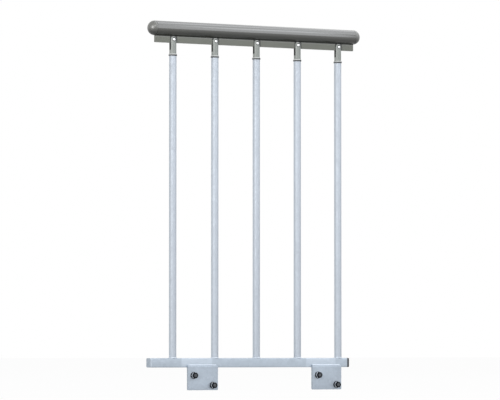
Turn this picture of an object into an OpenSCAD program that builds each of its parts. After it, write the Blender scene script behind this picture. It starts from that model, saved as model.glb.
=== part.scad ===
// One bay of a balustrade that stands on the top edge of a slab and is bolted to the slab's face.
// X runs along the rail, Z is up and the slab lies on the +Y side of the plane Y = 0.
// The origin is on the back face of the left fixing plate, at the middle of its exposed part.

/* [Overall] */
// Height of the handrail's top above the underside of the bottom rail
rail_height = 1000; // [600:5:1300]
// Number of balusters
baluster_count = 5; // [2:1:7]
// Distance from one baluster's axis to the next
baluster_pitch = 140; // [70:1:200]

/* [Handrail] */
// Outside diameter of the handrail tube
handrail_d = 42.4; // [32:0.1:60.3]
// Wall of the handrail tube
handrail_wall = 2; // [1.5:0.1:4]
// Length of tube to the left of the first baluster's axis
handrail_left = 60; // [30:1:150]
// Length of tube to the right of the last baluster's axis
handrail_right = 52; // [30:1:150]
// Wall of the domed end caps
cap_wall = 2.5; // [1.5:0.1:5]
// Length of the end cap's plug inside the tube
cap_plug_length = 18; // [8:1:40]
// Width of the joint line between cap and tube
cap_seam = 0.4; // [0.2:0.1:1]

/* [Top rail] */
// Height of the flat bar under the handrail
top_rail_height = 20; // [12:0.5:40]
// Thickness of the flat bar
top_rail_thickness = 8; // [5:0.5:12]

/* [Connectors] */
// Diameter of the connector's fork and neck
connector_d = 20.4; // [18:0.1:30]
// Radius that rounds the top of the fork
fork_rounding = 8; // [2:0.5:8]
// Depth of the slot below the flat bar
slot_below_bar = 20; // [5:0.5:30]
// Length of plain neck between slot and flared lip
neck_length = 8; // [3:0.5:30]
// Height of the flared lip
lip_height = 5.5; // [2:0.5:12]
// Diameter of the collar that rests on the tube
collar_d = 24.8; // [22:0.1:36]
// Thickness of the collar
collar_height = 4; // [2:0.5:10]
// Length of the spigot inside the tube
spigot_length = 28; // [10:1:60]

/* [Connector screws] */
// Shank diameter of the screw through the fork
screw_d = 5; // [3:0.5:6]
// Diameter of the screw's domed head
screw_head_d = 9.5; // [6:0.5:14]
// Height of the screw's domed head
screw_head_height = 2.75; // [1.5:0.25:5]
// Width across flats of the socket in the head
screw_socket = 3; // [2:0.5:5]
// Width across flats of the dome nut
dome_nut_flats = 8; // [5.5:0.5:13]
// Height of the dome nut's hexagon
dome_nut_height = 4; // [2.5:0.5:8]

/* [Balusters] */
// Outside diameter of the baluster tubes
baluster_d = 21.3; // [19:0.1:33.7]
// Wall of the baluster tubes
baluster_wall = 2; // [1.2:0.1:3]

/* [Bottom rail] */
// Height of the bottom rail
bottom_rail_height = 27; // [20:1:50]
// Depth of the bottom rail, front to back
bottom_rail_depth = 25; // [22:1:50]
// Wall of the bottom rail
bottom_rail_wall = 2; // [1.5:0.1:4]
// Outer corner radius of the bottom rail
bottom_rail_corner = 3; // [2.2:0.1:6]
// Length of section to the left of the first baluster's axis
bottom_rail_left = 77; // [40:1:150]
// Length of section to the right of the last baluster's axis
bottom_rail_right = 24.5; // [16:0.5:150]
// Thickness of the plate welded on the left end
end_plate_thickness = 3; // [2:0.5:8]
// Thickness of the plastic cap's head on the right end
end_cap_thickness = 7; // [3:0.5:12]
// Length of the plastic cap's plug inside the section
end_cap_plug = 16; // [6:1:40]

/* [Fixing plates] */
// Width of each fixing plate
plate_width = 100; // [60:1:120]
// Length of plate that hangs below the bottom rail
plate_drop = 66; // [50:1:150]
// Length of plate that laps the front of the bottom rail
plate_lap = 7.5; // [5:0.5:20]
// Thickness of the fixing plates
plate_thickness = 8; // [5:0.5:15]
// Radius of the plate's corners
plate_corner = 3; // [1:0.5:10]
// Depth of the rebate in the plate's back that the bottom rail seats in
plate_rebate = 0.5; // [0.2:0.1:2]
// Bevel along the plate's upper front edge
plate_bevel = 5; // [1:0.5:6]

/* [Anchors] */
// Diameter of the anchor's shank
anchor_d = 10; // [8:1:16]
// Length of shank behind the plate
anchor_length = 20; // [12:1:120]
// Distance of each anchor from the nearer side of its plate
anchor_side = 18; // [12:0.5:30]
// Distance of the upper anchor below the bottom rail
anchor_upper = 23; // [12:0.5:40]
// Distance of the lower anchor from the plate's bottom edge
anchor_lower = 14.5; // [12:0.5:40]
// Diameter of the washer
washer_d = 20; // [18:0.5:32]
// Thickness of the washer
washer_thickness = 2; // [1.5:0.5:4]
// Width across flats of the anchor's nut
nut_flats = 16; // [13:0.5:26]
// Height of the anchor's nut
nut_height = 6; // [4:0.5:14]
// Height of the black lock nut on the end of the anchor
lock_nut_height = 5; // [3:0.5:12]
// Length of thread that stands out of the lock nut
thread_end = 1; // [0.5:0.5:10]

/* [Fits] */
// Clearance all round between a plug or spigot and its bore
plug_clearance = 0.15; // [0.1:0.05:0.5]
// Clearance on each side of the flat bar in the fork
slot_clearance = 0.2; // [0.1:0.05:0.5]
// Clearance all round a screw or an anchor in its hole
hole_clearance = 0.5; // [0.2:0.1:1]
// Gap left between curved faces that seat on each other
seat_gap = 0.1; // [0.05:0.05:0.3]

/* [Hidden] */
$fn = 96;
ANCHORS = 4;

// A small overshoot that keeps cuts clean
cut = 1;

// Heights, worked up from the middle of the left plate's exposed part
rail_underside_z = plate_drop / 2;
rail_top_z = rail_underside_z + bottom_rail_height;
handrail_r = handrail_d / 2;
handrail_z = rail_underside_z + rail_height - handrail_r;
bar_top_z = handrail_z - handrail_r;
bar_bottom_z = bar_top_z - top_rail_height;
bar_middle_z = (bar_top_z + bar_bottom_z) / 2;
slot_bottom_z = bar_bottom_z - slot_below_bar;
lip_top_z = slot_bottom_z - neck_length;
collar_top_z = lip_top_z - lip_height;
tube_top_z = collar_top_z - collar_height;

// Everything above the bottom rail stands on its centre line
axis_y = bottom_rail_depth / 2 - plate_rebate;

// The left plate's right-hand edge lines up with the second baluster's axis
first_x = plate_width / 2 - baluster_pitch;
last_x = first_x + (baluster_count - 1) * baluster_pitch;
right_plate_x = last_x - plate_width / 2;
PLATE_X = [0, right_plate_x];

handrail_start_x = first_x - handrail_left;
handrail_end_x = last_x + handrail_right;
handrail_bore_r = handrail_r - handrail_wall;
section_start_x = first_x - bottom_rail_left;
section_end_x = last_x + bottom_rail_right;

connector_r = connector_d / 2;
fork_top_z = bar_top_z - seat_gap * 3;
slot_half = top_rail_thickness / 2 + slot_clearance;
screw_r = screw_d / 2;
screw_hole_r = screw_r + hole_clearance / 2;
// The head and the dome nut bear on flats cut into the sides of the fork
spot_face_y = sqrt(connector_r * connector_r - pow(screw_head_d / 2, 2));
spot_face_r = screw_head_d / 2 + seat_gap * 3;
tube_bore_r = baluster_d / 2 - baluster_wall;

anchor_r = anchor_d / 2;
thread_r = anchor_r - seat_gap * 2;
nut_front_y = -plate_thickness - washer_thickness - nut_height;
lock_nut_front_y = nut_front_y - lock_nut_height;
stud_front_y = lock_nut_front_y - thread_end;
plate_bottom_z = rail_underside_z - plate_drop;
plate_top_z = rail_underside_z + plate_lap;

function baluster_x(i) = first_x + (i - 1) * baluster_pitch;
// Each plate has an upper anchor near its left side and a lower one near its right side
function anchor_x(i) =
    PLATE_X[floor((i - 1) / 2)] + (i % 2 == 1 ? -1 : 1) * (plate_width / 2 - anchor_side);
function anchor_z(i) =
    i % 2 == 1 ? rail_underside_z - anchor_upper : plate_bottom_z + anchor_lower;

// Circumscribed radius of a hexagon, from its width across flats
function hex_r(flats) = flats / sqrt(3);

module along_x(x, r, length, z = handrail_z) {
    translate([x, axis_y, z])
        rotate([0, 90, 0])
            cylinder(r = r, h = length);
}

// A cylinder from y to y + length
module along_y(x, y, z, r, length, sides = $fn) {
    translate([x, y, z])
        rotate([-90, 0, 0])
            cylinder(r = r, h = length, $fn = sides);
}

module rounded_rectangle(width, height, r) {
    union() {
        translate([-width / 2 + r, -height / 2])
            square([width - 2 * r, height]);
        translate([-width / 2, -height / 2 + r])
            square([width, height - 2 * r]);
        for (sx = [-1, 1])
            for (sy = [-1, 1])
                translate([sx * (width / 2 - r), sy * (height / 2 - r)])
                    circle(r);
    }
}

// Extrudes a cross-section drawn in the YZ plane along X, from x on
module section_along_x(x, length) {
    translate([x, axis_y, rail_underside_z + bottom_rail_height / 2])
        rotate([90, 0, 90])
            linear_extrude(length)
                children();
}

module handrail_tube() {
    color("#8c8f8d")
        difference() {
            along_x(handrail_start_x, handrail_r, handrail_end_x - handrail_start_x);
            along_x(handrail_start_x - cut, handrail_bore_r,
                    handrail_end_x - handrail_start_x + 2 * cut);
        }
}

// A hollow half-round dome with a plug for the tube: the dome lies towards -X, the plug towards +X
module handrail_cap() {
    plug_r = handrail_bore_r - plug_clearance;
    hollow_r = plug_r - cap_wall;
    plug_end = cap_seam + cap_plug_length;
    rotate([0, 90, 0])
        rotate_extrude()
            difference() {
                union() {
                    intersection() {
                        circle(handrail_r);
                        translate([0, -handrail_r])
                            square(handrail_r);
                    }
                    translate([0, -cut])
                        square([plug_r, plug_end + cut]);
                }
                circle(hollow_r);
                square([hollow_r, plug_end + cut]);
            }
}

module handrail_cap_left() {
    color("#85877f")
        translate([handrail_start_x - cap_seam, axis_y, handrail_z])
            handrail_cap();
}

module handrail_cap_right() {
    color("#85877f")
        translate([handrail_end_x + cap_seam, axis_y, handrail_z])
            mirror([1, 0, 0])
                handrail_cap();
}

// A flat bar on edge, its top coped to the underside of the handrail
module top_rail() {
    color("#7b7e77")
        difference() {
            translate([handrail_start_x, axis_y - top_rail_thickness / 2, bar_bottom_z])
                cube([handrail_end_x - handrail_start_x, top_rail_thickness,
                      bar_top_z - bar_bottom_z + handrail_r / 2]);
            along_x(handrail_start_x - cut, handrail_r + seat_gap,
                    handrail_end_x - handrail_start_x + 2 * cut);
            for (i = [1:baluster_count])
                along_y(baluster_x(i), axis_y - top_rail_thickness, bar_middle_z,
                        screw_hole_r, 2 * top_rail_thickness);
        }
}

// Spigot, collar, flared lip, neck and fork, turned about the tube's axis
module connector_blank() {
    spigot_r = tube_bore_r - plug_clearance;
    collar_r = collar_d / 2;
    lip_r = connector_r + (collar_r - connector_r) * 0.7;
    shoulder_z = fork_top_z - fork_rounding;
    union() {
        translate([0, 0, tube_top_z - spigot_length])
            cylinder(r = spigot_r, h = spigot_length + cut);
        translate([0, 0, tube_top_z])
            cylinder(r = collar_r, h = collar_height);
        translate([0, 0, collar_top_z])
            cylinder(r1 = lip_r, r2 = connector_r, h = lip_height);
        translate([0, 0, collar_top_z])
            cylinder(r = connector_r, h = shoulder_z - collar_top_z);
        translate([0, 0, shoulder_z])
            rotate_extrude() {
                square([connector_r - fork_rounding, fork_rounding]);
                translate([connector_r - fork_rounding, 0])
                    intersection() {
                        circle(fork_rounding);
                        square(fork_rounding);
                    }
            }
    }
}

module connector(i) {
    color("#a3a8a6")
        difference() {
            translate([baluster_x(i), axis_y, 0])
                connector_blank();
            // Slot for the flat bar
            translate([baluster_x(i) - collar_d, axis_y - slot_half, slot_bottom_z])
                cube([2 * collar_d, 2 * slot_half, fork_top_z - slot_bottom_z + cut]);
            // Room for the underside of the handrail
            along_x(baluster_x(i) - collar_d, handrail_r + seat_gap * 3, 2 * collar_d);
            // Screw hole and the two flats that its head and nut bear on
            along_y(baluster_x(i), axis_y - collar_d, bar_middle_z, screw_hole_r, 2 * collar_d);
            along_y(baluster_x(i), axis_y - collar_d, bar_middle_z, spot_face_r,
                    collar_d - spot_face_y);
            along_y(baluster_x(i), axis_y + spot_face_y, bar_middle_z, spot_face_r, collar_d);
        }
}

// Dome-head screw, from its head at the front to its end in the dome nut
module connector_screw(i) {
    head_y = axis_y - spot_face_y;
    head_r = screw_head_d / 2;
    dome_r = (head_r * head_r + screw_head_height * screw_head_height) / (2 * screw_head_height);
    color("#d9dcdd")
        difference() {
            union() {
                along_y(baluster_x(i), head_y - cut, bar_middle_z, screw_r,
                        2 * spot_face_y + cut + dome_nut_height);
                intersection() {
                    translate([baluster_x(i), head_y - screw_head_height + dome_r, bar_middle_z])
                        rotate([90, 0, 0])
                            sphere(dome_r);
                    along_y(baluster_x(i), head_y - screw_head_height - cut, bar_middle_z,
                            dome_r, screw_head_height + cut);
                }
            }
            along_y(baluster_x(i), head_y - screw_head_height - cut, bar_middle_z,
                    hex_r(screw_socket), screw_head_height * 0.6 + cut, 6);
        }
}

// Dome nut behind the fork
module connector_nut(i) {
    nut_y = axis_y + spot_face_y;
    dome_r = dome_nut_flats / 2 * 0.92;
    bore_r = screw_r + seat_gap / 2;
    color("#d9dcdd")
        difference() {
            union() {
                along_y(baluster_x(i), nut_y, bar_middle_z, hex_r(dome_nut_flats),
                        dome_nut_height, 6);
                intersection() {
                    translate([baluster_x(i), nut_y + dome_nut_height, bar_middle_z])
                        rotate([90, 0, 0])
                            sphere(dome_r);
                    along_y(baluster_x(i), nut_y + dome_nut_height - cut, bar_middle_z,
                            dome_r + cut, dome_r + 2 * cut);
                }
            }
            along_y(baluster_x(i), nut_y - cut, bar_middle_z, bore_r,
                    dome_nut_height + cut + seat_gap);
        }
}

module baluster(i) {
    color("#d0d8e3")
        translate([baluster_x(i), axis_y, rail_top_z])
            difference() {
                cylinder(d = baluster_d, h = tube_top_z - rail_top_z);
                translate([0, 0, -cut])
                    cylinder(r = tube_bore_r, h = tube_top_z - rail_top_z + 2 * cut);
            }
}

module bottom_rail() {
    color("#b7c4d2")
        section_along_x(section_start_x, section_end_x - section_start_x)
            difference() {
                rounded_rectangle(bottom_rail_depth, bottom_rail_height, bottom_rail_corner);
                rounded_rectangle(bottom_rail_depth - 2 * bottom_rail_wall,
                                  bottom_rail_height - 2 * bottom_rail_wall,
                                  bottom_rail_corner - bottom_rail_wall);
            }
}

module bottom_rail_end_plate() {
    color("#b7c4d2")
        section_along_x(section_start_x - end_plate_thickness, end_plate_thickness)
            rounded_rectangle(bottom_rail_depth, bottom_rail_height, bottom_rail_corner);
}

module bottom_rail_end_cap() {
    plug_inset = 2 * (bottom_rail_wall + plug_clearance);
    color("#26272b")
        union() {
            section_along_x(section_end_x, end_cap_thickness)
                rounded_rectangle(bottom_rail_depth, bottom_rail_height, bottom_rail_corner);
            section_along_x(section_end_x - end_cap_plug, end_cap_plug + cut)
                rounded_rectangle(bottom_rail_depth - plug_inset, bottom_rail_height - plug_inset,
                                  bottom_rail_corner - bottom_rail_wall);
        }
}

// Plate number side is 0 for the left one and 1 for the right one
module fixing_plate(side) {
    x = PLATE_X[side];
    color("#b3bfcd")
        difference() {
            translate([x, 0, (plate_top_z + plate_bottom_z) / 2])
                rotate([90, 0, 0])
                    linear_extrude(plate_thickness)
                        rounded_rectangle(plate_width, plate_top_z - plate_bottom_z, plate_corner);
            translate([x, -plate_thickness, plate_top_z])
                rotate([45, 0, 0])
                    cube([plate_width + cut, sqrt(2) * plate_bevel, sqrt(2) * plate_bevel],
                         center = true);
            // The rebate for the bottom rail leaves the rest of the back as the bearing face
            translate([x - plate_width, -plate_rebate, rail_underside_z])
                cube([2 * plate_width, plate_rebate + cut, plate_lap + cut]);
            for (i = [2 * side + 1, 2 * side + 2])
                along_y(anchor_x(i), -plate_thickness - cut, anchor_z(i),
                        anchor_r + hole_clearance, plate_thickness + 2 * cut);
        }
}

module fixing_plate_left() {
    fixing_plate(0);
}

module fixing_plate_right() {
    fixing_plate(1);
}

// Threaded end through the plate and a full-size shank behind it, both ends chamfered
module anchor_stud(i) {
    chamfer = min(1, thread_end);
    color("#c3c8cc")
        translate([anchor_x(i), 0, anchor_z(i)])
            rotate([-90, 0, 0]) {
                translate([0, 0, stud_front_y])
                    cylinder(r1 = thread_r - chamfer, r2 = thread_r, h = chamfer);
                translate([0, 0, stud_front_y + chamfer])
                    cylinder(r = thread_r, h = cut - stud_front_y - chamfer);
                cylinder(r = anchor_r, h = anchor_length - chamfer);
                translate([0, 0, anchor_length - chamfer])
                    cylinder(r1 = anchor_r, r2 = anchor_r - chamfer, h = chamfer);
            }
}

module anchor_washer(i) {
    color("#2b2d31")
        difference() {
            along_y(anchor_x(i), -plate_thickness - washer_thickness, anchor_z(i),
                    washer_d / 2, washer_thickness);
            along_y(anchor_x(i), -plate_thickness - washer_thickness - cut, anchor_z(i),
                    anchor_r + hole_clearance / 2, washer_thickness + 2 * cut);
        }
}

// A hexagon nut on the thread, from front_y to front_y + height
module hexagon_nut(i, front_y, height) {
    difference() {
        along_y(anchor_x(i), front_y, anchor_z(i), hex_r(nut_flats), height, 6);
        along_y(anchor_x(i), front_y - cut, anchor_z(i), thread_r + seat_gap, height + 2 * cut);
    }
}

module anchor_nut(i) {
    color("#d5d9dd")
        hexagon_nut(i, nut_front_y, nut_height);
}

module anchor_lock_nut(i) {
    color("#1e2024")
        hexagon_nut(i, lock_nut_front_y, lock_nut_height);
}

handrail_tube();
handrail_cap_left();
handrail_cap_right();
top_rail();
for (i = [1:baluster_count]) {
    connector(i);
    connector_screw(i);
    connector_nut(i);
    baluster(i);
}
bottom_rail();
bottom_rail_end_plate();
bottom_rail_end_cap();
fixing_plate_left();
fixing_plate_right();
for (i = [1:ANCHORS]) {
    anchor_stud(i);
    anchor_washer(i);
    anchor_nut(i);
    anchor_lock_nut(i);
}
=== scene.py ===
"""Looks of a balustrade bay: painted handrail and forks, galvanised tubes, rail and plates."""
import math

import bmesh
import bpy
from mathutils import Matrix, Vector, noise


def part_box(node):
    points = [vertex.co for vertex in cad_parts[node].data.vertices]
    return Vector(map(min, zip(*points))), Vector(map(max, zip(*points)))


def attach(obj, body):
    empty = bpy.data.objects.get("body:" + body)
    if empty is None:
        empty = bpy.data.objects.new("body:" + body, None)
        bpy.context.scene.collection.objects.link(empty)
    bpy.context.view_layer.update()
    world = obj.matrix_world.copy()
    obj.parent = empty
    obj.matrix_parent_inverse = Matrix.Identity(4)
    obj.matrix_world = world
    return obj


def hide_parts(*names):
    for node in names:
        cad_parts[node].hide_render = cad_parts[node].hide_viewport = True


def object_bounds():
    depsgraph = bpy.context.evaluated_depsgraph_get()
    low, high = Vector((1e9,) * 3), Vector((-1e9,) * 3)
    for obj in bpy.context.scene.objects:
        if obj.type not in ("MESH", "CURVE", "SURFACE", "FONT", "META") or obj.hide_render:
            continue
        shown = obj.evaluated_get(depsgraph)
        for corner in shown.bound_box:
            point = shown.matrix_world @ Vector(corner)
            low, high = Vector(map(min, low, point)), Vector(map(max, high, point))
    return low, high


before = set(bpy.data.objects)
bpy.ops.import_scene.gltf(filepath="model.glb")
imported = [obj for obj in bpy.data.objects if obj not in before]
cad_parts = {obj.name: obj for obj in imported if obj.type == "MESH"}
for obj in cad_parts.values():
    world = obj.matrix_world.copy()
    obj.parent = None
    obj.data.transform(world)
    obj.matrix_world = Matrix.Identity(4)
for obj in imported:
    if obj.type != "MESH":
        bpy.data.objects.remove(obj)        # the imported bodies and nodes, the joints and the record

cad_low, cad_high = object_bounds()
MM = 0.001
FULL_TURN = 2 * math.pi
BALUSTERS = [node for node in sorted(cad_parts) if node.startswith("baluster_")]
ANCHORS = [node for node in sorted(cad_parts) if node.startswith("anchor_stud_")]

# Sizes that the nodes' boxes don't give
TUBE_WALL = 2 * MM
PLUG_CLEARANCE = 0.15 * MM
FORK_R = 10.2 * MM
FORK_ROUNDING = 8 * MM
FORK_BELOW_HANDRAIL = 0.7 * MM
SLOT_WIDTH = 8.4 * MM
SLOT_BELOW_BAR = 20 * MM
SPOT_FACE_R = 5.05 * MM
SPOT_FACE_CHORD = 9.5 * MM
LIP_HEIGHT = 4.6 * MM
RING_HEIGHT = 3.2 * MM
RING_BORE_R = 9 * MM
CAST_GRID = 0.42 * MM
SCREW_HEAD_HEIGHT = 2.75 * MM
SCREW_SOCKET = 3 * MM
DOME_NUT_HEXAGON = 4 * MM
SECTION_CORNER = 3 * MM
PLATE_CORNER = 3 * MM
PLATE_BEVEL = 5 * MM
STUD_R = 4.8 * MM
STUD_PITCH = 1.25 * MM
ANCHOR_NUT_BORE_R = 4.9 * MM
WASHER_BORE_R = 5.25 * MM
OVERSHOOT = MM

SKY_COLOUR = (0.93, 0.96, 1.0)


# ---------------------------------------------------------------- materials

class Value:
    """A socket of a finish; arithmetic on it adds Math nodes."""

    def __init__(self, finish, socket):
        self.finish = finish
        self.socket = socket

    def maths(self, operation, *inputs):
        return self.finish.maths(operation, *inputs)

    def __add__(self, other):
        return self.maths("ADD", self, other)

    def __radd__(self, other):
        return self.maths("ADD", other, self)

    def __sub__(self, other):
        return self.maths("SUBTRACT", self, other)

    def __rsub__(self, other):
        return self.maths("SUBTRACT", other, self)

    def __mul__(self, other):
        return self.maths("MULTIPLY", self, other)

    def smooth(self, low, high):
        """0 below low, 1 above high and a smooth step between."""
        return self.finish.node(
            "ShaderNodeMapRange",
            {"interpolation_type": "SMOOTHSTEP"},
            {"Value": self, "From Min": low, "From Max": high},
        )


class Finish:
    """A procedural material built round one Principled shader, on Object coordinates."""

    def __init__(self, name, **constants):
        self.material = bpy.data.materials.new(name)
        self.material.use_nodes = True
        self.tree = self.material.node_tree
        self.shader = self.tree.nodes["Principled BSDF"]
        self.place = self.node("ShaderNodeTexCoord", output="Object")
        for socket, value in constants.items():
            self.shader.inputs[socket.replace("_", " ")].default_value = value

    def node(self, kind, settings=None, inputs=None, output=0):
        """Adds a node: its settings first, then each input's value or link."""
        made = self.tree.nodes.new(kind)
        for name, value in (settings or {}).items():
            setattr(made, name, value)
        for name, value in (inputs or {}).items():
            if isinstance(value, Value):
                self.tree.links.new(value.socket, made.inputs[name])
            else:
                made.inputs[name].default_value = value
        return Value(self, made.outputs[output])

    def maths(self, operation, *inputs):
        return self.node("ShaderNodeMath", {"operation": operation}, dict(enumerate(inputs)))

    def stretched(self, factors):
        """The place scaled along each axis; a factor under 1 draws a pattern out."""
        return self.node("ShaderNodeMapping", {}, {"Vector": self.place, "Scale": factors})

    def noise(self, scale, detail=3.0, roughness=0.5, stretch=None):
        """Noise about 0.5; scale counts features in a metre."""
        where = self.stretched(stretch) if stretch else self.place
        return self.node(
            "ShaderNodeTexNoise",
            {},
            {"Vector": where, "Scale": scale, "Detail": detail, "Roughness": roughness},
        )

    def axis(self, letter):
        """A place's X, Y or Z in metres."""
        return self.node("ShaderNodeSeparateXYZ", {}, {0: self.place}, output=letter)

    def blend(self, factor, first, second):
        """A colour between two colours, each a tuple or a Value."""
        pair = [colour if isinstance(colour, Value) else (*colour, 1) for colour in (first, second)]
        return self.node(
            "ShaderNodeMix",
            {"data_type": "RGBA"},
            {0: factor, 6: pair[0], 7: pair[1]},
            output=2,
        )

    def use(self, height, depth, **surface):
        """Links what varies to the shader, and height as a bump that is depth millimetres deep."""
        for name, value in surface.items():
            socket = self.shader.inputs[name.replace("_", " ")]
            if isinstance(value, Value):
                self.tree.links.new(value.socket, socket)
            else:
                socket.default_value = value
        bump = self.node("ShaderNodeBump", {}, {"Height": height, "Distance": depth * MM})
        self.tree.links.new(bump.socket, self.shader.inputs["Normal"])
        return self.material


def shade(colour, factor):
    return tuple(min(1.0, channel * factor) for channel in colour)


def tube_paint(low_z, high_z):
    """Glossy grey-olive paint with orange peel and handling smears, its clear coat lowered underneath as
    painted shade.
    """
    olive = (0.03, 0.031, 0.025)
    finish = Finish("handrail_gloss_paint", Specular_IOR_Level=0.32, Coat_Roughness=0.14, Coat_IOR=2.0)
    cloud = finish.noise(7, 4, 0.55, (0.35, 1, 1))
    smear = finish.noise(38, 5, 0.6, (0.3, 1, 1)).smooth(0.48, 0.7)
    peel = finish.noise(420, 2, 0.5)
    tone = finish.blend(cloud, shade(olive, 0.88), shade(olive, 1.12))
    dust_and_sheen = finish.blend(smear * 0.05, tone, (0.2, 0.2, 0.19))
    shaded_coat = coat_with_painted_shade(finish, low_z, high_z)
    return finish.use(
        height=peel, depth=0.008, Base_Color=dust_and_sheen, Roughness=0.11 + smear * 0.06, Coat_Weight=shaded_coat
    )


def coat_with_painted_shade(finish, low_z, high_z):
    """How much clear coat lies on the rail: lowered underneath as painted shade, and a little along the top
    to dim its reflection there.
    """
    height = finish.axis("Z")
    # Painted shade: the coat, and so the reflection, falls away towards the underside and a little along the
    # top.
    below = height.smooth(low_z + 6 * MM, (low_z + high_z) / 2 + 1.5 * MM) * 0.9 + 0.1
    return below * (1 - height.smooth(high_z - 9 * MM, high_z - MM) * 0.55)


def cap_paint(low_z, high_z):
    """The same colour on moulded caps, satin and finely grained, with painted shade darkening them
    underneath.
    """
    olive = (0.085, 0.087, 0.076)
    finish = Finish("handrail_cap_satin_paint", Coat_Roughness=0.4, Coat_IOR=1.9)
    cloud = finish.noise(60, 4, 0.55)
    grain = finish.noise(1500, 2, 0.5)
    tone = finish.blend(cloud, shade(olive, 0.85), shade(olive, 1.15))
    # Painted shade: the base colour darkens towards the cap's underside.
    lit_above = finish.axis("Z").smooth(low_z + MM, high_z - 14 * MM)
    shaded_below = finish.blend(lit_above, shade(olive, 0.2), tone)
    return finish.use(
        height=grain, depth=0.01, Base_Color=shaded_below, Roughness=0.38 + cloud * 0.08,
        Coat_Weight=coat_with_painted_shade(finish, low_z, high_z),
    )


def bar_paint(low_z, high_z):
    """Satin paint on the flat bar, thin and rubbed along its lower edge, with a painted highlight along its
    top and painted shade under the handrail and beside each fork.
    """
    olive = (0.178, 0.184, 0.158)
    finish = Finish("flat_bar_satin_paint")
    cloud = finish.noise(16, 4, 0.6, (0.4, 1, 1))
    grain = finish.noise(900, 3, 0.6)
    ragged = finish.noise(260, 4, 0.65) * (1.6 * MM) + finish.axis("Z")
    wear_and_highlight = 1 - ragged.smooth(low_z + 0.8 * MM, low_z + 2.6 * MM)
    # Painted highlight: a lighter band along the bar's top edge.
    dust_and_sheen = ragged.smooth(high_z - 6 * MM, high_z)
    tone = finish.blend(cloud, shade(olive, 0.86), shade(olive, 1.14))
    worn = finish.blend(wear_and_highlight * 0.35, tone, (0.34, 0.345, 0.33))
    top = finish.blend(dust_and_sheen * 0.55, worn, (0.33, 0.335, 0.32))
    # Painted shade: a dark line under the handrail and dark bands beside each fork.
    painted_crease_shade = ragged.smooth(high_z - 1.4 * MM, high_z - 0.2 * MM)
    for node in BALUSTERS:
        away = finish.maths("ABSOLUTE", finish.axis("X") - centre_of(node).x)
        ragged_away = away + finish.noise(300, 3) * (0.6 * MM)
        painted_crease_shade = finish.maths("MAXIMUM", painted_crease_shade, 1 - ragged_away.smooth(FORK_R + MM, FORK_R + 2.6 * MM))
    shaded = finish.blend(painted_crease_shade * 0.93, top, (0.02, 0.021, 0.02))
    return finish.use(height=grain, depth=0.02, Base_Color=shaded, Roughness=0.4 + cloud * 0.16)


def casting_paint(lip_z, top_z, slot_z, screws):
    """Satin grey-green paint over a sand-cast skin, with painted highlights at lip and crown and painted
    shade in the slot and round the screw seats.
    """
    green = (0.33, 0.35, 0.328)
    finish = Finish("connector_casting_paint")
    cloud = finish.noise(55, 4, 0.6)
    skin = finish.noise(750, 4, 0.65)
    pits = finish.noise(300, 3, 0.7).smooth(0.62, 0.74)
    tone = finish.blend(cloud, shade(green, 0.82), shade(green, 1.16))
    pitted = finish.blend(pits * 0.35, tone, shade(green, 0.5))
    ragged = finish.axis("Z") + finish.noise(420, 3) * MM
    # Painted highlights: lighter bands on the lip's flare and round the fork's crown.
    lip_highlight_top = ragged.smooth(lip_z + 2.8 * MM, lip_z + 4.2 * MM)
    lip_highlight = ragged.smooth(lip_z - 0.5 * MM, lip_z + 1.2 * MM) * (1 - lip_highlight_top)
    crown = ragged.smooth(top_z - 3.9 * MM, top_z - 1.2 * MM)
    wear_and_highlight = finish.blend(finish.maths("MAXIMUM", lip_highlight, crown) * 0.85, pitted, (0.70, 0.71, 0.70))
    # Painted shade: near-black inside the slot and in a ring round each screw seat.
    off_middle = finish.maths("ABSOLUTE", finish.axis("Y") - screws[0].y)
    in_slot = 1 - off_middle.smooth(SLOT_WIDTH / 2 - 0.1 * MM, SLOT_WIDTH / 2 + 0.4 * MM)
    recess_shade = in_slot * ragged.smooth(slot_z - 0.6 * MM, slot_z + 0.4 * MM)
    flat = finish.stretched((1, 0, 1))
    for screw in screws:
        spot = (screw.x, 0, screw.z)
        away = finish.node("ShaderNodeVectorMath", {"operation": "DISTANCE"}, {0: flat, 1: spot}, 1)
        seat = away.smooth(4.3 * MM, 4.8 * MM) * (1 - away.smooth(5.6 * MM, 6.6 * MM))
        recess_shade = finish.maths("MAXIMUM", recess_shade, seat)
    shaded = finish.blend(recess_shade * 0.9, wear_and_highlight, (0.02, 0.021, 0.02))
    return finish.use(height=skin - pits * 0.8, depth=0.06, Base_Color=shaded, Roughness=0.34 + cloud * 0.16)


def ring_rubber():
    """Dark grey sealing ring between connector and tube."""
    finish = Finish("connector_ring_rubber")
    cloud = finish.noise(130, 3, 0.6)
    tone = finish.blend(cloud, (0.045, 0.048, 0.05), (0.09, 0.094, 0.096))
    grain = finish.noise(1400, 2)
    return finish.use(height=grain, depth=0.02, Base_Color=tone, Roughness=0.42 + cloud * 0.2)


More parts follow.
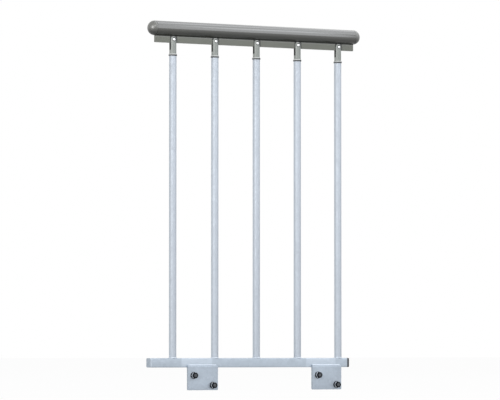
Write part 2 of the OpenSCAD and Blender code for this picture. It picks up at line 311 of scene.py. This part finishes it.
def galvanised(
    name, zinc, grain_stretch, spangle, contrast, metal=0.62, mask=None, lighter=(0.7, 0.76, 0.84)
):
    """Weathered hot-dip zinc: faint crystals, drawn-out clouds, pale bloom; mask adds lighter parts."""
    finish = Finish(name)
    cell = finish.node(
        "ShaderNodeTexVoronoi",
        {"feature": "F1"},
        {"Vector": finish.place, "Scale": spangle, "Randomness": 1.0},
        output="Color",
    )
    crystal = finish.node("ShaderNodeSeparateColor", {}, {0: cell})
    cloud = finish.noise(21, 5, 0.62, grain_stretch)
    fine = finish.noise(240, 4, 0.65, grain_stretch)
    bloom = finish.noise(46, 5, 0.7).smooth(0.54, 0.72)
    tone = finish.blend(cloud, shade(zinc, 1 - 0.15 * contrast), shade(zinc, 1 + 0.13 * contrast))
    spangled = finish.blend(crystal * (0.16 * contrast), tone, shade(zinc, 0.7))
    pale = finish.blend(bloom * (0.28 * contrast), spangled, lighter)
    if mask is not None:
        pale = finish.blend(mask(finish) * 0.75, pale, lighter)
    return finish.use(
        height=fine * 0.6 + crystal * 0.4,
        depth=0.03 * contrast,
        Base_Color=pale,
        Metallic=metal - bloom * 0.3,
        Roughness=0.62 - metal * 0.25 + crystal * 0.1 + bloom * 0.12,
    )


def bright_steel(name, steel, rough):
    """Polished or zinc-plated fastener metal with fine turning marks."""
    finish = Finish(name, Metallic=1.0)
    marks = finish.noise(1600, 3, 0.6)
    cloud = finish.noise(170, 3, 0.5)
    tone = finish.blend(cloud, shade(steel, 0.86), shade(steel, 1.08))
    return finish.use(height=marks, depth=0.006, Base_Color=tone, Roughness=rough + cloud * 0.14)


def black_oxide():
    """Blackened steel, rubbed to bare grey here and there."""
    finish = Finish("black_oxide_steel", Specular_IOR_Level=0.08)
    cloud = finish.noise(220, 4, 0.65)
    wear_and_highlight = finish.noise(520, 5, 0.7).smooth(0.62, 0.78)
    tone = finish.blend(cloud, (0.004, 0.005, 0.008), (0.010, 0.012, 0.017))
    worn = finish.blend(wear_and_highlight * 0.2, tone, (0.04, 0.043, 0.048))
    dull = 0.42 + cloud * 0.18
    return finish.use(height=cloud, depth=0.02, Base_Color=worn, Metallic=wear_and_highlight * 0.3, Roughness=dull)


def black_plastic():
    """Fine-grained black moulding with a dusty bloom."""
    finish = Finish("black_cap_plastic")
    cloud = finish.noise(90, 4, 0.6)
    tone = finish.blend(cloud, (0.028, 0.029, 0.034), (0.062, 0.064, 0.07))
    grain = finish.noise(1800, 2)
    return finish.use(height=grain, depth=0.03, Base_Color=tone, Roughness=0.45 + cloud * 0.15)


def weld_zinc(name):
    """Zinc over a weld bead: brighter and smoother than the sections beside it."""
    zinc = (0.68, 0.735, 0.80)
    finish = Finish(name, Metallic=0.55)
    cloud = finish.noise(150, 4, 0.6)
    tone = finish.blend(cloud, shade(zinc, 0.84), shade(zinc, 1.12))
    grain = finish.noise(700, 3)
    return finish.use(height=grain, depth=0.04, Base_Color=tone, Roughness=0.36 + cloud * 0.14)


# ---------------------------------------------------------------- shapes

def arc(centre_r, centre_h, radius, start, end, count=8):
    """Points (radius, height) on an arc, its angles in degrees from the +r direction."""
    turns = [math.radians(start + (end - start) * i / count) for i in range(count + 1)]
    return [(centre_r + radius * math.cos(turn), centre_h + radius * math.sin(turn)) for turn in turns]


def turned(outline, steps, closed=False):
    """Spins an outline of (radius, height) points about Z; closed joins its last point to its first."""
    bm = bmesh.new()
    points = [bm.verts.new((r, 0, h)) for r, h in outline]
    following = points[1:] + (points[:1] if closed else [])
    edges = [bm.edges.new(pair) for pair in zip(points, following)]
    bmesh.ops.spin(
        bm, geom=points + edges, cent=(0, 0, 0), axis=(0, 0, 1), angle=FULL_TURN, steps=steps, use_merge=True
    )
    bmesh.ops.remove_doubles(bm, verts=bm.verts, dist=1e-6)
    return bm


def prism(outline, length):
    """A closed outline of (x, y) points, filled and extruded along Z."""
    bm = bmesh.new()
    face = bm.faces.new([bm.verts.new((x, y, 0)) for x, y in outline])
    grown = bmesh.ops.extrude_face_region(bm, geom=[face])["geom"]
    far = [v for v in grown if isinstance(v, bmesh.types.BMVert)]
    bmesh.ops.translate(bm, verts=far, vec=(0, 0, length))
    return bm


def rounded_rectangle(width, height, r, count=6):
    """Corner arcs in turn, anticlockwise about the middle."""
    corners = [(1, 1, 0), (-1, 1, 90), (-1, -1, 180), (1, -1, 270)]
    points = []
    for sx, sy, start in corners:
        points += arc(sx * (width / 2 - r), sy * (height / 2 - r), r, start, start + 90, count)
    return points


def hexagon(flats):
    return arc(0, 0, flats / math.sqrt(3), 0, 300, 5)


# Each turns +Z to a direction
TO_RIGHT = Matrix.Rotation(math.pi / 2, 4, "Y")
TO_LEFT = Matrix.Rotation(-math.pi / 2, 4, "Y")
TO_BACK = Matrix.Rotation(-math.pi / 2, 4, "X")
TO_FRONT = Matrix.Rotation(math.pi / 2, 4, "X")


def placed(bm, where, turn=None):
    """Turns a shape about the origin, then moves the origin to a place."""
    bmesh.ops.transform(bm, matrix=Matrix.Translation(where) @ (turn or Matrix()), verts=bm.verts)
    return bm


def softened(bm, width, angle=30.0, segments=2):
    """Bevels every edge sharper than an angle."""
    bmesh.ops.remove_doubles(bm, verts=bm.verts, dist=1e-6)
    bmesh.ops.recalc_face_normals(bm, faces=bm.faces)
    sharp = [e for e in bm.edges if len(e.link_faces) == 2 and e.calc_face_angle() > math.radians(angle)]
    bmesh.ops.bevel(
        bm, geom=sharp, offset=width, segments=segments, profile=0.5, affect="EDGES", material=-1,
        clamp_overlap=True,
    )
    return bm


def mesh_object(bm, name):
    """Turns a shape into an object, its doubled points joined and its faces outward."""
    bmesh.ops.remove_doubles(bm, verts=bm.verts, dist=1e-6)
    bmesh.ops.recalc_face_normals(bm, faces=bm.faces)
    mesh = bpy.data.meshes.new(name)
    bm.to_mesh(mesh)
    bm.free()
    obj = bpy.data.objects.new(name, mesh)
    bpy.context.scene.collection.objects.link(obj)
    return obj


def carve(obj, tools):
    """Applies boolean modifiers, each tool with its operation, and removes the tools."""
    for tool, operation in tools:
        change = obj.modifiers.new(operation, "BOOLEAN")
        change.operation = operation
        change.solver = "EXACT"
        change.object = tool
    bake(obj)
    for tool, _ in tools:
        bpy.data.objects.remove(tool)
    return obj


def bake(obj):
    """Turns an object's modifiers into its mesh."""
    bpy.context.view_layer.update()
    seen = obj.evaluated_get(bpy.context.evaluated_depsgraph_get())
    mesh = bpy.data.meshes.new_from_object(seen)
    obj.modifiers.clear()
    obj.data = mesh
    return obj


def piece(shape, name, material, replaces=(), sharp=32.0):
    """Makes a piece of the balustrade from a bmesh or an object, smooth up to an angle."""
    obj = shape if isinstance(shape, bpy.types.Object) else mesh_object(shape, name)
    obj.name = name
    obj.data.materials.clear()
    obj.data.materials.append(material)
    obj.data.shade_smooth()
    obj.data.set_sharp_from_angle(angle=math.radians(sharp))
    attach(obj, "root")
    if replaces:
        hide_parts(*replaces)
    return obj


def copy_of(obj, shift):
    """A copy of an object with its own mesh, moved by a shift."""
    made = bpy.data.objects.new(obj.name, obj.data.copy())
    made.data.transform(Matrix.Translation(shift))
    bpy.context.scene.collection.objects.link(made)
    return made


def centre_of(node):
    low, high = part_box(node)
    return (Vector(low) + Vector(high)) / 2


def ends(node):
    """The low and high corners of a node's box."""
    low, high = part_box(node)
    return Vector(low), Vector(high)


# ---------------------------------------------------------------- handrail

def tube(radius, length, steps, edge=0.4 * MM):
    """A round tube along Z from 0, its outer edges a little rounded."""
    bore = radius - TUBE_WALL
    outline = [(bore, 0)]
    outline += arc(radius - edge, edge, edge, -90, 0, 3)
    outline += arc(radius - edge, length - edge, edge, 0, 90, 3)
    outline += [(bore, length)]
    return turned(outline, steps, closed=True)


def domed_cap(radius, plug_radius, seam):
    """A half-round cap about the origin, its dome towards -Z, with a groove where it meets the tube."""
    plug = 6 * MM
    edge = 0.7 * MM
    start = math.degrees(math.asin(edge / radius))
    dome = arc(0, 0, radius, -90, -start, 36)
    outline = dome + [(radius - 0.35 * MM, 0), (plug_radius, 0)]
    outline += [(plug_radius, seam + plug), (0, seam + plug)]
    return turned(outline, 96)


def make_handrail():
    low, high = ends("handrail_tube")
    radius = (high.z - low.z) / 2
    middle = centre_of("handrail_tube")
    start = Vector((low.x, middle.y, middle.z))
    piece(
        placed(tube(radius, high.x - low.x, 128), start, TO_RIGHT),
        "handrail_tube_painted", tube_paint(low.z, high.z), ["handrail_tube"],
    )
    caps = cap_paint(low.z, high.z)
    plug_r = radius - TUBE_WALL - PLUG_CLEARANCE
    for side, turn in (("left", TO_RIGHT), ("right", TO_LEFT)):
        cap_low, cap_high = ends(f"handrail_cap_{side}")
        x = cap_low.x + radius if side == "left" else cap_high.x - radius
        seam = abs(x - (low.x if side == "left" else high.x))
        shape = placed(domed_cap(radius, plug_r, seam), (x, middle.y, middle.z), turn)
        piece(shape, f"handrail_dome_{side}", caps, [f"handrail_cap_{side}"])


def make_top_rail():
    low, high = ends("top_rail")
    size = high - low
    bm = bmesh.new()
    bmesh.ops.create_cube(bm, size=1)
    bmesh.ops.scale(bm, vec=size, verts=bm.verts)
    placed(softened(bm, 0.7 * MM, segments=3), (low + high) / 2)
    piece(bm, "flat_bar_painted", bar_paint(low.z, high.z), ["top_rail"])


# ---------------------------------------------------------------- connectors

def connector_casting(foot, slot_z, top_z, screw_z):
    """Lip, neck and fork, cast in one and softened at every edge; foot is where the tube's axis ends."""
    top = top_z - foot.z
    lip_r = FORK_R + 1.9 * MM
    lip_edge = 0.5 * MM
    flare = 2.6 * MM
    outline = [(0, RING_HEIGHT)]
    outline += arc(lip_r - lip_edge, RING_HEIGHT + lip_edge, lip_edge, -90, 0, 3)
    outline += arc(FORK_R + flare, RING_HEIGHT + LIP_HEIGHT, flare, 242, 180, 6)
    outline += arc(FORK_R - FORK_ROUNDING, top - FORK_ROUNDING, FORK_ROUNDING, 0, 90, 14)
    outline += [(0, top)]
    body = mesh_object(placed(turned(outline, 96), foot), "casting")
    reach = 40 * MM
    slot = bmesh.new()
    bmesh.ops.create_cube(slot, size=1)
    bmesh.ops.scale(slot, vec=(reach, SLOT_WIDTH, reach), verts=slot.verts)
    placed(slot, (foot.x, foot.y, slot_z + reach / 2))
    tools = [(mesh_object(slot, "slot"), "DIFFERENCE")]
    flat_y = math.sqrt(FORK_R ** 2 - (SPOT_FACE_CHORD / 2) ** 2)
    for side, turn in ((-1, TO_FRONT), (1, TO_BACK)):
        seat = placed(
            turned([(0, 0), (SPOT_FACE_R, 0), (SPOT_FACE_R, reach), (0, reach)], 48),
            (foot.x, foot.y + side * flat_y, screw_z), turn,
        )
        tools.append((mesh_object(seat, "seat"), "DIFFERENCE"))
    carve(body, tools)
    grid = body.modifiers.new("grid", "REMESH")
    grid.mode = "VOXEL"
    grid.voxel_size = CAST_GRID
    soft = body.modifiers.new("soft", "SMOOTH")
    soft.factor = 0.5
    soft.iterations = 4
    return bake(body)


def button_screw(head_r, head_height, socket):
    """A domed screw head with a hexagon socket, its seat at the origin and its dome towards +Z."""
    dome_r = (head_r ** 2 + head_height ** 2) / (2 * head_height)
    start = math.degrees(math.acos(head_r / dome_r))
    shank_r = head_r * 0.5
    shank = 2 * MM
    socket_floor = head_height * 0.42
    outline = [(0, -shank), (shank_r, -shank), (shank_r, 0), (head_r - 0.25 * MM, 0)]
    outline += arc(0, head_height - dome_r, dome_r, start, 90, 14)
    head = mesh_object(turned(outline, 64), "head")
    key = placed(prism(hexagon(socket), head_height + OVERSHOOT), (0, 0, socket_floor))
    return carve(head, [(mesh_object(key, "key"), "DIFFERENCE")])


def hex_nut(flats, height, bore_r=0):
    """A hexagon nut along Z from 0, its corners chamfered at both faces, solid where bore_r is 0."""
    outer = flats / math.sqrt(3) * 1.04
    inner = flats / 2 * 0.97
    chamfer = flats * 0.0585
    skin = 0.01 * MM
    trim = turned(
        [(0, -skin), (inner, -skin), (outer, chamfer), (outer, height - chamfer), (inner, height + skin),
         (0, height + skin)], 72,
    )
    nut = mesh_object(prism(hexagon(flats), height), "nut")
    tools = [(mesh_object(trim, "trim"), "INTERSECT")]
    if bore_r:
        lead = 0.6 * MM
        mouth_r = bore_r + lead
        bore = turned(
            [(0, -OVERSHOOT), (mouth_r, -OVERSHOOT), (mouth_r, 0), (bore_r, lead), (bore_r, height - lead),
             (mouth_r, height), (mouth_r, height + OVERSHOOT), (0, height + OVERSHOOT)], 48,
        )
        tools.append((mesh_object(bore, "bore"), "DIFFERENCE"))
    return carve(nut, tools)


def connector_ring(foot):
    """The dark ring between the tube's end and the casting."""
    low, high = ends("connector_1")
    radius = (high.x - low.x) / 2
    edge = 0.9 * MM
    outline = [(RING_BORE_R, 0)] + arc(radius - edge, edge, edge, -90, 0, 4)
    outline += arc(radius - edge, RING_HEIGHT - edge, edge, 0, 90, 4) + [(RING_BORE_R, RING_HEIGHT)]
    return mesh_object(placed(turned(outline, 72, closed=True), foot), "ring")


def connector_screw(foot, screw_z):
    """The first connector's screw head, its dome towards the front."""
    low, high = ends("connector_screw_1")
    screw = button_screw((high.x - low.x) / 2, SCREW_HEAD_HEIGHT, SCREW_SOCKET)
    seat = (foot.x, low.y + SCREW_HEAD_HEIGHT, screw_z)
    screw.data.transform(Matrix.Translation(seat) @ TO_FRONT)
    return screw


def connector_dome_nut(foot, screw_z):
    """The first connector's dome nut, its crown towards the back."""
    low, high = ends("connector_nut_1")
    nut = hex_nut(high.z - low.z, DOME_NUT_HEXAGON)
    crown_r = high.y - low.y - DOME_NUT_HEXAGON
    crown = turned([(0, 0)] + arc(0, 0, crown_r, 0, 90, 12), 40)
    placed(crown, (0, 0, DOME_NUT_HEXAGON - 0.05 * MM))
    carve(nut, [(mesh_object(crown, "crown"), "UNION")])
    nut.data.transform(Matrix.Translation((foot.x, low.y, screw_z)) @ TO_BACK)
    return nut


def make_connectors():
    """Each part of the first connector, copied to every baluster."""
    bar_low, bar_high = ends("top_rail")
    rubber = ring_rubber()
    steel = bright_steel("polished_screw_steel", (0.80, 0.81, 0.82), 0.12)
    foot = centre_of(BALUSTERS[0])
    foot.z = ends(BALUSTERS[0])[1].z
    slot_z = bar_low.z - SLOT_BELOW_BAR
    top_z = bar_high.z - FORK_BELOW_HANDRAIL
    screw_z = centre_of("connector_nut_1").z
    screws = [Vector((centre_of(node).x, foot.y, screw_z)) for node in BALUSTERS]
    paint = casting_paint(foot.z + RING_HEIGHT, top_z, slot_z, screws)
    casting = connector_casting(foot, slot_z, top_z, screw_z)
    ring = connector_ring(foot)
    screw = connector_screw(foot, screw_z)
    nut = connector_dome_nut(foot, screw_z)
    for i, axis in enumerate(screws, 1):
        shift = Vector((axis.x - foot.x, 0, 0))
        cast = copy_of(casting, shift)
        piece(cast, f"fork_casting_{i}", paint, [f"connector_{i}"], sharp=60)
        piece(copy_of(ring, shift), f"fork_ring_{i}", rubber)
        piece(copy_of(screw, shift), f"fork_screw_{i}", steel, [f"connector_screw_{i}"])
        piece(copy_of(nut, shift), f"fork_dome_nut_{i}", steel, [f"connector_nut_{i}"])
    for pattern in (casting, ring, screw, nut):
        bpy.data.objects.remove(pattern)


# ---------------------------------------------------------------- balusters and bottom rail

def make_balusters():
    zinc = galvanised("galvanised_tube_zinc", (0.55, 0.597, 0.657), (1, 1, 0.22), 150, 0.7, 0.36)
    weld = weld_zinc("galvanised_foot_weld")
    leg = 2.4 * MM
    ripples = 26
    ripple_depth = 0.014
    for i, node in enumerate(BALUSTERS, 1):
        low, high = ends(node)
        radius = (high.x - low.x) / 2
        foot = centre_of(node)
        foot.z = low.z
        body = placed(tube(radius, high.z - low.z, 72, 0.2 * MM), foot)
        piece(body, f"baluster_tube_{i}", zinc, [node])
        hollow = arc(radius + leg, leg, leg * 0.85, 262, 188, 5)
        root = radius - MM
        bead = turned([(root, 0), (radius + leg, 0)] + hollow + [(root, leg)], 160, closed=True)
        for point in bead.verts:
            turn = math.atan2(point.co.y, point.co.x)
            if point.co.z > 0.1 * MM and point.co.xy.length > radius:
                point.co.xy *= 1 + ripple_depth * math.sin(turn * ripples + i)
        placed(bead, foot)
        piece(bead, f"baluster_weld_{i}", weld)


def light_patches(plates):
    """A mask that is 1 on the rail's stretch of brighter zinc beside each plate's weld."""
    def mask(finish):
        along = finish.axis("X") + finish.noise(60, 3) * (6 * MM)
        patches = 0
        for low, high in plates:
            before_end = 1 - along.smooth(high.x - 16 * MM, high.x - 10 * MM)
            patches = along.smooth(low.x - 18 * MM, low.x - 12 * MM) * before_end + patches
        return patches
    return mask


def end_seam(depth, height, width):
    """A weld round the section, its surface a little uneven."""
    seam = prism(rounded_rectangle(depth, height, SECTION_CORNER, 10), width)
    bmesh.ops.recalc_face_normals(seam, faces=seam.faces)
    sides = [edge for edge in seam.edges if edge.calc_length() > 4 * MM]
    bmesh.ops.subdivide_edges(seam, edges=sides, cuts=14, use_grid_fill=True)
    softened(seam, 0.7 * MM, 50)
    for point in seam.verts:
        point.co.xy *= 1 - 0.012 * (0.5 + 0.5 * noise.noise(point.co * 900))
    return seam


def make_bottom_rail():
    """The section, the plate and weld that close its left end and the plug's head at its right end."""
    low, high = ends("bottom_rail")
    plates = [ends("fixing_plate_left"), ends("fixing_plate_right")]
    zinc = galvanised(
        "galvanised_section_zinc", (0.43, 0.487, 0.55), (0.3, 1, 1), 120, 0.9, 0.62, light_patches(plates),
        (0.52, 0.58, 0.65),
    )
    height = high.z - low.z
    depth = high.y - low.y
    middle = centre_of("bottom_rail")
    across = Matrix(((0, 0, 1), (1, 0, 0), (0, 1, 0))).to_4x4()
    outline = rounded_rectangle(depth, height, SECTION_CORNER)
    section = placed(prism(outline, high.x - low.x), (low.x, middle.y, middle.z), across)
    piece(section, "bottom_rail_section", zinc, ["bottom_rail"])
    plate_low, plate_high = ends("bottom_rail_end_plate")
    inset = 0.6 * MM
    plate_outline = rounded_rectangle(depth - inset, height - inset, SECTION_CORNER)
    plate = softened(prism(plate_outline, plate_high.x - plate_low.x), 0.5 * MM, 50)
    placed(plate, (plate_low.x, middle.y, middle.z), across)
    piece(plate, "end_plate_zinc", zinc, ["bottom_rail_end_plate"])
    seam = end_seam(depth, height, 2.2 * MM)
    placed(seam, (plate_high.x - 1.1 * MM, middle.y, middle.z), across)
    piece(seam, "end_plate_weld", weld_zinc("galvanised_end_weld"))
    head = ends("bottom_rail_end_cap")[1].x - high.x
    cap = softened(prism(outline, head), 1.1 * MM, 50, 3)
    placed(cap, (high.x, middle.y, middle.z), across)
    piece(cap, "end_cap_moulding", black_plastic(), ["bottom_rail_end_cap"])


# ---------------------------------------------------------------- fixing plates and anchors

def flame_cut(points, where, top):
    """Outline points spread closely along each side, nibbled inwards as a torch leaves them, but not
    at the welded top; where picks the stretch of noise."""
    spacing = 1.6 * MM
    deepest = 0.95 * MM
    welded = 8 * MM
    spread = []
    for (x0, y0), (x1, y1) in zip(points, points[1:] + points[:1]):
        count = max(1, round(math.hypot(x1 - x0, y1 - y0) / spacing))
        spread += [(x0 + (x1 - x0) * i / count, y0 + (y1 - y0) * i / count) for i in range(count)]
    rough = []
    for x, y in spread:
        bite = deepest * (0.5 + 0.5 * noise.noise(Vector((x, y, where)) * 330))
        scale = 1 if y > top - welded else 1 - bite / max(abs(x), abs(y), 20 * MM)
        rough.append((x * scale, y * scale))
    return rough


def weld_bead(length, number):
    """A rippled bead along Z from 0, with pointed ends; number picks its ripples."""
    radius = 2.1 * MM
    steps = 110
    outline = [(0, -MM)]
    for i in range(steps + 1):
        ripple = 0.10 * abs(math.sin(i * math.pi / 4)) + 0.05 * noise.noise((i * 0.37, number, 0))
        outline.append((radius * (0.86 + ripple), i * length / steps))
    outline.append((0, length + MM))
    return turned(outline, 24)


def make_plate(side, number, zinc, weld):
    """A fixing plate, bevelled along its upper front edge, and the weld in that bevel."""
    low, high = ends(f"fixing_plate_{side}")
    size = high - low
    middle = (low + high) / 2
    outline = rounded_rectangle(size.x, size.z, PLATE_CORNER, 5)
    bm = prism(flame_cut(outline, number * 0.37, size.z / 2), size.y)
    bmesh.ops.recalc_face_normals(bm, faces=bm.faces)
    placed(bm, (middle.x, high.y, middle.z), TO_FRONT)
    cut = bmesh.ops.bisect_plane(
        bm, geom=bm.verts[:] + bm.edges[:] + bm.faces[:], plane_co=(middle.x, low.y, high.z - PLATE_BEVEL),
        plane_no=(0, -1, 1), clear_outer=True,
    )
    rim = [part for part in cut["geom_cut"] if isinstance(part, bmesh.types.BMEdge)]
    bmesh.ops.contextual_create(bm, geom=rim)
    softened(bm, 0.35 * MM, 40)
    piece(bm, f"fixing_plate_{side}_zinc", zinc, [f"fixing_plate_{side}"])
    inset = 4 * MM
    bead = weld_bead(size.x - 2 * inset, number)
    placed(bead, (low.x + inset, high.y - 1.9 * MM, high.z - 0.6 * MM), TO_RIGHT)
    piece(bead, f"fixing_plate_{side}_weld", weld)


def threaded(radius, pitch, length):
    """A threaded rod along Z from 0, its far end chamfered and its thread turned as fine ridges."""
    root = radius - 0.61 * pitch
    count = int(length / pitch)
    outline = [(0, 0), (root, 0)]
    for i in range(count):
        foot = (i + 0.25) * pitch
        outline += [(root, foot), (radius, foot + pitch * 0.38), (radius, foot + pitch * 0.5)]
    outline += [(root, (count + 0.1) * pitch), (root - 0.3 * MM, length), (0, length)]
    return turned(outline, 28)


def at_every_anchor(pattern, kind, shape, metal):
    """Copies a piece of the first anchor to each anchor, and removes the pattern."""
    for i, stud in enumerate(ANCHORS, 1):
        shift = centre_of(stud) - centre_of(ANCHORS[0])
        shift.y = 0
        piece(copy_of(pattern, shift), f"{kind}_{i}_{shape}", metal, [f"{kind}_{i}"])
    bpy.data.objects.remove(pattern)


def make_anchors():
    oxide = black_oxide()
    nut_zinc = bright_steel("bright_zinc_nut", (0.95, 0.96, 0.98), 0.16)
    stud_zinc = bright_steel("dull_zinc_stud", (0.085, 0.09, 0.096), 0.42)
    low, high = ends("anchor_stud_1")
    here = centre_of("anchor_stud_1")
    rod = threaded(STUD_R, STUD_PITCH, high.y - low.y)
    stud = mesh_object(placed(rod, (here.x, low.y, here.z), TO_BACK), "stud")
    at_every_anchor(stud, "anchor_stud", "threaded", stud_zinc)
    low, high = ends("anchor_washer_1")
    radius = (high.x - low.x) / 2
    thick = high.y - low.y
    section = [(WASHER_BORE_R, 0), (radius, 0), (radius, thick), (WASHER_BORE_R, thick)]
    disc = softened(turned(section, 72, closed=True), 0.4 * MM, 50)
    washer = mesh_object(placed(disc, (here.x, low.y, here.z), TO_BACK), "washer")
    at_every_anchor(washer, "anchor_washer", "round", oxide)
    for kind, slot, metal in (("anchor_nut", "zinc_nut", nut_zinc), ("anchor_lock_nut", "black_nut", oxide)):
        low, high = ends(f"{kind}_1")
        nut = hex_nut(high.z - low.z, high.y - low.y, ANCHOR_NUT_BORE_R)
        nut.data.transform(Matrix.Translation((here.x, low.y, here.z)) @ TO_BACK)
        at_every_anchor(nut, kind, "hexagon", metal)


# ---------------------------------------------------------------- studio

def make_floor():
    """A plain pale floor just under the plates, which camera and mirrors see as nearly white."""
    bm = bmesh.new()
    bmesh.ops.create_grid(bm, x_segments=1, y_segments=1, size=40)
    placed(bm, (0, 0, cad_low.z - 0.5 * MM))
    floor = mesh_object(bm, "floor")
    material = bpy.data.materials.new("pale_floor")
    material.use_nodes = True
    tree = material.node_tree
    shader = tree.nodes["Principled BSDF"]
    shader.inputs["Base Color"].default_value = (0.62, 0.62, 0.62, 1)
    shader.inputs["Roughness"].default_value = 0.9
    floor.data.materials.append(material)
    white_for_eyes(tree, shader.outputs[0], tree.nodes["Material Output"], 0.97)


def white_for_eyes(tree, plain, output, share):
    """Camera, glossy and transmission rays see a share of even white glow over the plain shader."""
    path = tree.nodes.new("ShaderNodeLightPath")
    whole_sky = output.bl_idname == "ShaderNodeOutputWorld"
    glow = tree.nodes.new("ShaderNodeBackground" if whole_sky else "ShaderNodeEmission")
    glow.inputs["Color"].default_value = (1, 1, 1, 1)
    glow.inputs["Strength"].default_value = 1.0
    seen = path.outputs["Is Camera Ray"]
    for ray in ("Is Glossy Ray", "Is Transmission Ray"):
        either = tree.nodes.new("ShaderNodeMath")
        either.operation = "MAXIMUM"
        tree.links.new(seen, either.inputs[0])
        tree.links.new(path.outputs[ray], either.inputs[1])
        seen = either.outputs[0]
    part = tree.nodes.new("ShaderNodeMath")
    part.operation = "MULTIPLY"
    tree.links.new(seen, part.inputs[0])
    part.inputs[1].default_value = share
    mix = tree.nodes.new("ShaderNodeMixShader")
    tree.links.new(part.outputs[0], mix.inputs[0])
    tree.links.new(plain, mix.inputs[1])
    tree.links.new(glow.outputs[0], mix.inputs[2])
    tree.links.new(mix.outputs[0], output.inputs["Surface"])


def make_world():
    world = bpy.data.worlds.new("studio")
    bpy.context.scene.world = world
    world.use_nodes = True
    tree = world.node_tree
    fill = tree.nodes["Background"]
    fill.inputs["Color"].default_value = (*SKY_COLOUR, 1)
    fill.inputs["Strength"].default_value = 0.2
    white_for_eyes(tree, fill.outputs[0], tree.nodes["World Output"], 1.0)


def softbox(name, direction, distance, size, watts, colour=(1, 1, 1)):
    """A rectangular lamp that looks at the middle of the bay."""
    lamp = bpy.data.lights.new(name, "AREA")
    lamp.shape = "RECTANGLE"
    lamp.size, lamp.size_y = size
    lamp.energy = watts
    lamp.color = colour
    obj = bpy.data.objects.new(name, lamp)
    bpy.context.scene.collection.objects.link(obj)
    middle = (cad_low + cad_high) / 2
    towards = Vector(direction).normalized()
    obj.location = middle + towards * distance
    obj.rotation_mode = "QUATERNION"
    obj.rotation_quaternion = towards.to_track_quat("Z", "Y")


def make_sky():
    """An arch of three panels from the front over the top, whose reflections streak the handrail."""
    rightward = 0.42
    outward = 0.866
    for angle, watts in ((25, 126), (66, 116), (107, 100)):
        lift = math.radians(angle)
        towards = (rightward, -outward * math.cos(lift), outward * math.sin(lift))
        softbox(f"sky_{angle}", towards, 7.0, (5.2, 6.2), watts, SKY_COLOUR)


def make_camera():
    """Far off to the left of the front, about level with the bottom rail and tilted up a little."""
    data = bpy.data.cameras.new("camera")
    data.sensor_width = 36
    data.lens = 274.8
    data.clip_end = 100
    obj = bpy.data.objects.new("camera", data)
    bpy.context.scene.collection.objects.link(obj)
    bpy.context.scene.camera = obj
    yaw = math.radians(30.419)
    pitch = math.radians(2.248)
    obj.location = (-5.4717, -9.5944, 0.0839)
    forward = Vector((math.sin(yaw) * math.cos(pitch), math.cos(yaw) * math.cos(pitch), math.sin(pitch)))
    obj.rotation_mode = "QUATERNION"
    obj.rotation_quaternion = forward.to_track_quat("-Z", "Y")


make_camera()
make_world()
make_floor()
softbox("key", (-0.95, -0.55, 0.2), distance=9.0, size=(3.6, 3.6), watts=370)
softbox("glint", (-0.4, -0.7, 0.58), distance=5.0, size=(0.9, 0.9), watts=26)
make_sky()
make_handrail()
make_top_rail()
make_connectors()
make_balusters()
make_bottom_rail()
plate_zinc = galvanised("galvanised_plate_zinc", (0.42, 0.475, 0.54), (1, 1, 1), 210, 0.95)
plate_weld = weld_zinc("galvanised_plate_weld")
make_plate("left", 1, plate_zinc, plate_weld)
make_plate("right", 2, plate_zinc, plate_weld)
make_anchors()

bpy.context.scene.view_settings.view_transform = "Standard"
